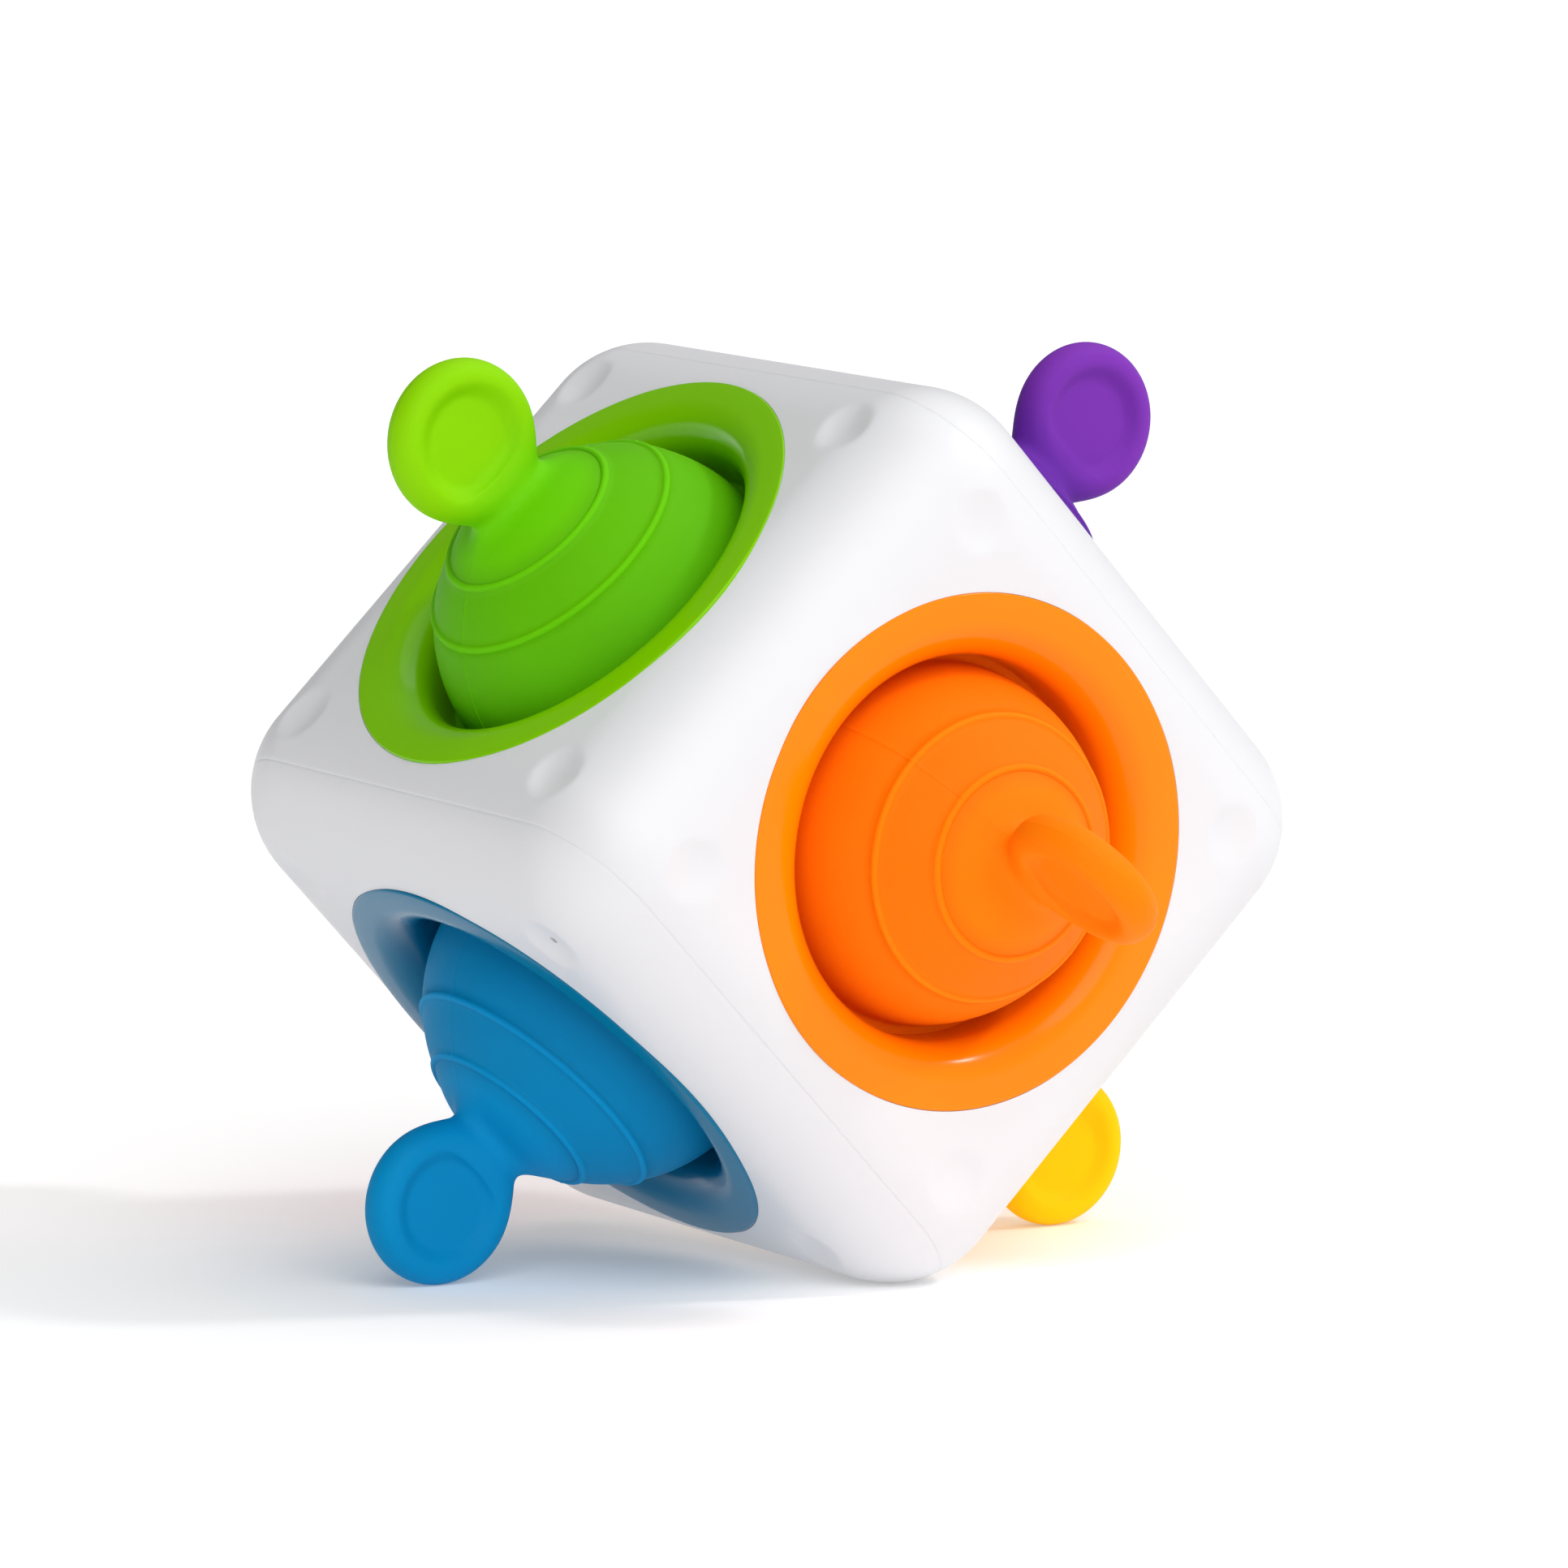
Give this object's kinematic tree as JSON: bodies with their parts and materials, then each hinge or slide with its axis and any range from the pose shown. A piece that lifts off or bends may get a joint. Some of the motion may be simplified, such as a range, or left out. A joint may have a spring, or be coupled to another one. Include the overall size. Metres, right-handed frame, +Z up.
{
  "type": "baby activity cube",
  "caption": "Hollow rounded cube, each face with a ring round a stretchy silicone dome ending in a round pull tab, lying on two tabs and a corner.",
  "frame": {"origin": "middle of the footprint on the floor that the toy lies on, under the middle of the cube", "axes": "+Z up; +X along the orange tug, which leans 3.5 degrees down, and away from the red tug; green faces up and to -Y, purple up and to +Y, blue down and to -Y, yellow down and to +Y"},
  "size_m": [0.2116, 0.1582, 0.1578],
  "materials": {
    "casing_plastic": "satin white injection-moulded ABS",
    "clamp_plastic": "plain natural polypropylene, as moulded",
    "screw_steel": "zinc-plated steel",
    "orange_silicone": "matt moulded silicone, orange",
    "orange_ring_plastic": "semi-gloss moulded ABS, orange",
    "green_silicone": "matt moulded silicone, green",
    "green_ring_plastic": "semi-gloss moulded ABS, green",
    "blue_silicone": "matt moulded silicone, blue",
    "blue_ring_plastic": "semi-gloss moulded ABS, blue",
    "red_silicone": "matt moulded silicone, red",
    "red_ring_plastic": "semi-gloss moulded ABS, red",
    "yellow_silicone": "matt moulded silicone, yellow",
    "yellow_ring_plastic": "semi-gloss moulded ABS, yellow",
    "purple_silicone": "matt moulded silicone, purple",
    "purple_ring_plastic": "semi-gloss moulded ABS, purple"
  },
  "bodies": {
    "casing": {"middle_shell": "casing_plastic", "blue_end_cap": "casing_plastic", "purple_end_cap": "casing_plastic", "orange_bezel": "orange_ring_plastic", "orange_flange": "orange_silicone", "orange_skirt": "orange_silicone", "orange_clamp_ring": "clamp_plastic", "orange_screws": "screw_steel", "green_bezel": "green_ring_plastic", "green_flange": "green_silicone", "green_skirt": "green_silicone", "green_clamp_ring": "clamp_plastic", "green_screws": "screw_steel", "blue_bezel": "blue_ring_plastic", "blue_flange": "blue_silicone", "blue_skirt": "blue_silicone", "blue_clamp_ring": "clamp_plastic", "blue_screws": "screw_steel", "red_bezel": "red_ring_plastic", "red_flange": "red_silicone", "red_skirt": "red_silicone", "red_clamp_ring": "clamp_plastic", "red_screws": "screw_steel", "yellow_bezel": "yellow_ring_plastic", "yellow_flange": "yellow_silicone", "yellow_skirt": "yellow_silicone", "yellow_clamp_ring": "clamp_plastic", "yellow_screws": "screw_steel", "purple_bezel": "purple_ring_plastic", "purple_flange": "purple_silicone", "purple_skirt": "purple_silicone", "purple_clamp_ring": "clamp_plastic", "purple_screws": "screw_steel"},
    "orange_dome": {"orange_dome": "orange_silicone"},
    "orange_tab": {"orange_tab": "orange_silicone"},
    "green_dome": {"green_dome": "green_silicone"},
    "green_tab": {"green_tab": "green_silicone"},
    "blue_dome": {"blue_dome": "blue_silicone"},
    "blue_tab": {"blue_tab": "blue_silicone"},
    "red_dome": {"red_dome": "red_silicone"},
    "red_tab": {"red_tab": "red_silicone"},
    "yellow_dome": {"yellow_dome": "yellow_silicone"},
    "yellow_tab": {"yellow_tab": "yellow_silicone"},
    "purple_dome": {"purple_dome": "purple_silicone"},
    "purple_tab": {"purple_tab": "purple_silicone"}
  },
  "joints": [
    {"name": "orange_pull", "type": "slide", "parent": "casing", "child": "orange_dome", "axis": [0.9981, 0, -0.0613], "range_m": [0, 0.02], "stiffness_N_per_m": 600, "deforming": ["orange_skirt"]},
    {"name": "orange_bend", "type": "hinge", "parent": "orange_dome", "child": "orange_tab", "pos_m": [0.07686, 0, 0.0742], "axis": [0.0433, -0.7071, 0.7058], "range_deg": [-35, 35], "stiffness_Nm_per_rad": 0.2},
    {"name": "green_pull", "type": "slide", "parent": "casing", "child": "green_dome", "axis": [0.0433, -0.7071, 0.7058], "range_m": [0, 0.02], "stiffness_N_per_m": 600, "deforming": ["green_skirt"]},
    {"name": "green_bend", "type": "hinge", "parent": "green_dome", "child": "green_tab", "pos_m": [0.00334, -0.05445, 0.13326], "axis": [0.0433, 0.7071, 0.7058], "range_deg": [-35, 35], "stiffness_Nm_per_rad": 0.2},
    {"name": "blue_pull", "type": "slide", "parent": "casing", "child": "blue_dome", "axis": [-0.0433, -0.7071, -0.7058], "range_m": [0, 0.02], "stiffness_N_per_m": 600, "deforming": ["blue_skirt"]},
    {"name": "blue_bend", "type": "hinge", "parent": "blue_dome", "child": "blue_tab", "pos_m": [-0.00334, -0.05445, 0.02457], "axis": [0.0433, -0.7071, 0.7058], "range_deg": [-35, 35], "stiffness_Nm_per_rad": 0.2},
    {"name": "red_pull", "type": "slide", "parent": "casing", "child": "red_dome", "axis": [-0.9981, 0, 0.0613], "range_m": [0, 0.02], "stiffness_N_per_m": 600, "deforming": ["red_skirt"]},
    {"name": "red_bend", "type": "hinge", "parent": "red_dome", "child": "red_tab", "pos_m": [-0.07686, 0, 0.08363], "axis": [0.0433, -0.7071, 0.7058], "range_deg": [-35, 35], "stiffness_Nm_per_rad": 0.2},
    {"name": "yellow_pull", "type": "slide", "parent": "casing", "child": "yellow_dome", "axis": [-0.0433, 0.7071, -0.7058], "range_m": [0, 0.02], "stiffness_N_per_m": 600, "deforming": ["yellow_skirt"]},
    {"name": "yellow_bend", "type": "hinge", "parent": "yellow_dome", "child": "yellow_tab", "pos_m": [-0.00334, 0.05445, 0.02457], "axis": [-0.0433, -0.7071, -0.7058], "range_deg": [-35, 35], "stiffness_Nm_per_rad": 0.2},
    {"name": "purple_pull", "type": "slide", "parent": "casing", "child": "purple_dome", "axis": [0.0433, 0.7071, 0.7058], "range_m": [0, 0.02], "stiffness_N_per_m": 600, "deforming": ["purple_skirt"]},
    {"name": "purple_bend", "type": "hinge", "parent": "purple_dome", "child": "purple_tab", "pos_m": [0.00334, 0.05445, 0.13326], "axis": [-0.0433, 0.7071, -0.7058], "range_deg": [-35, 35], "stiffness_Nm_per_rad": 0.2}
  ]
}
